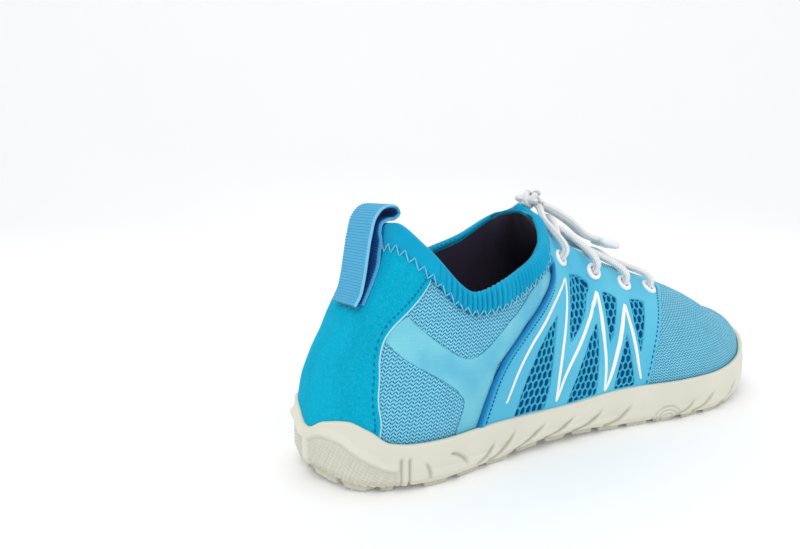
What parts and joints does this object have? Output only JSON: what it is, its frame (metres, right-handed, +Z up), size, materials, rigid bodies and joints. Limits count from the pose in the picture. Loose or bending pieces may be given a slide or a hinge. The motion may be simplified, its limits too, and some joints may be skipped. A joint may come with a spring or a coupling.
{
  "type": "water shoe",
  "caption": "Right water shoe: stretch knit bootie on a cup sole with an upturned toe, side saddles, white lace and a heel loop.",
  "frame": {"origin": "middle of the flat heel pad of the tread, on the floor", "axes": "+Y to the toe, +X to the outer side of the right foot, +Z up"},
  "size_m": [0.0961, 0.2631, 0.102],
  "materials": {
    "sole_rubber": "matt moulded rubber",
    "insole_foam": "dark knitted cover on foam",
    "knit": "stretch mesh knit",
    "heel_suede": "short napped suede",
    "collar_stretch": "gathered stretch fabric",
    "quarter_film": "satin fused film",
    "saddle_film": "satin fused film over mesh",
    "white_print": "smooth raised print",
    "lace_cord": "braided cord",
    "loop_webbing": "ribbed webbing"
  },
  "bodies": {
    "root": {"outsole": "sole_rubber", "insole": "insole_foam", "upper": "knit", "heel_counter": "heel_suede", "collar_band": "collar_stretch", "quarter_film_outer": "quarter_film", "quarter_film_inner": "quarter_film", "saddle_outer": "saddle_film", "saddle_inner": "saddle_film", "zigzag_outer": "white_print", "zigzag_inner": "white_print", "eyelet_outer_1": "white_print", "eyelet_outer_2": "white_print", "eyelet_outer_3": "white_print", "eyelet_outer_4": "white_print", "eyelet_inner_1": "white_print", "eyelet_inner_2": "white_print", "eyelet_inner_3": "white_print", "eyelet_inner_4": "white_print", "lace_cross_1": "lace_cord", "lace_cross_2": "lace_cord", "lace_cross_3": "lace_cord", "lace_top_outer": "lace_cord", "lace_top_inner": "lace_cord", "lace_knot": "lace_cord", "lace_end_outer": "lace_cord", "lace_end_inner": "lace_cord", "lace_clip": "lace_cord", "pull_loop": "loop_webbing"}
  },
  "joints": []
}
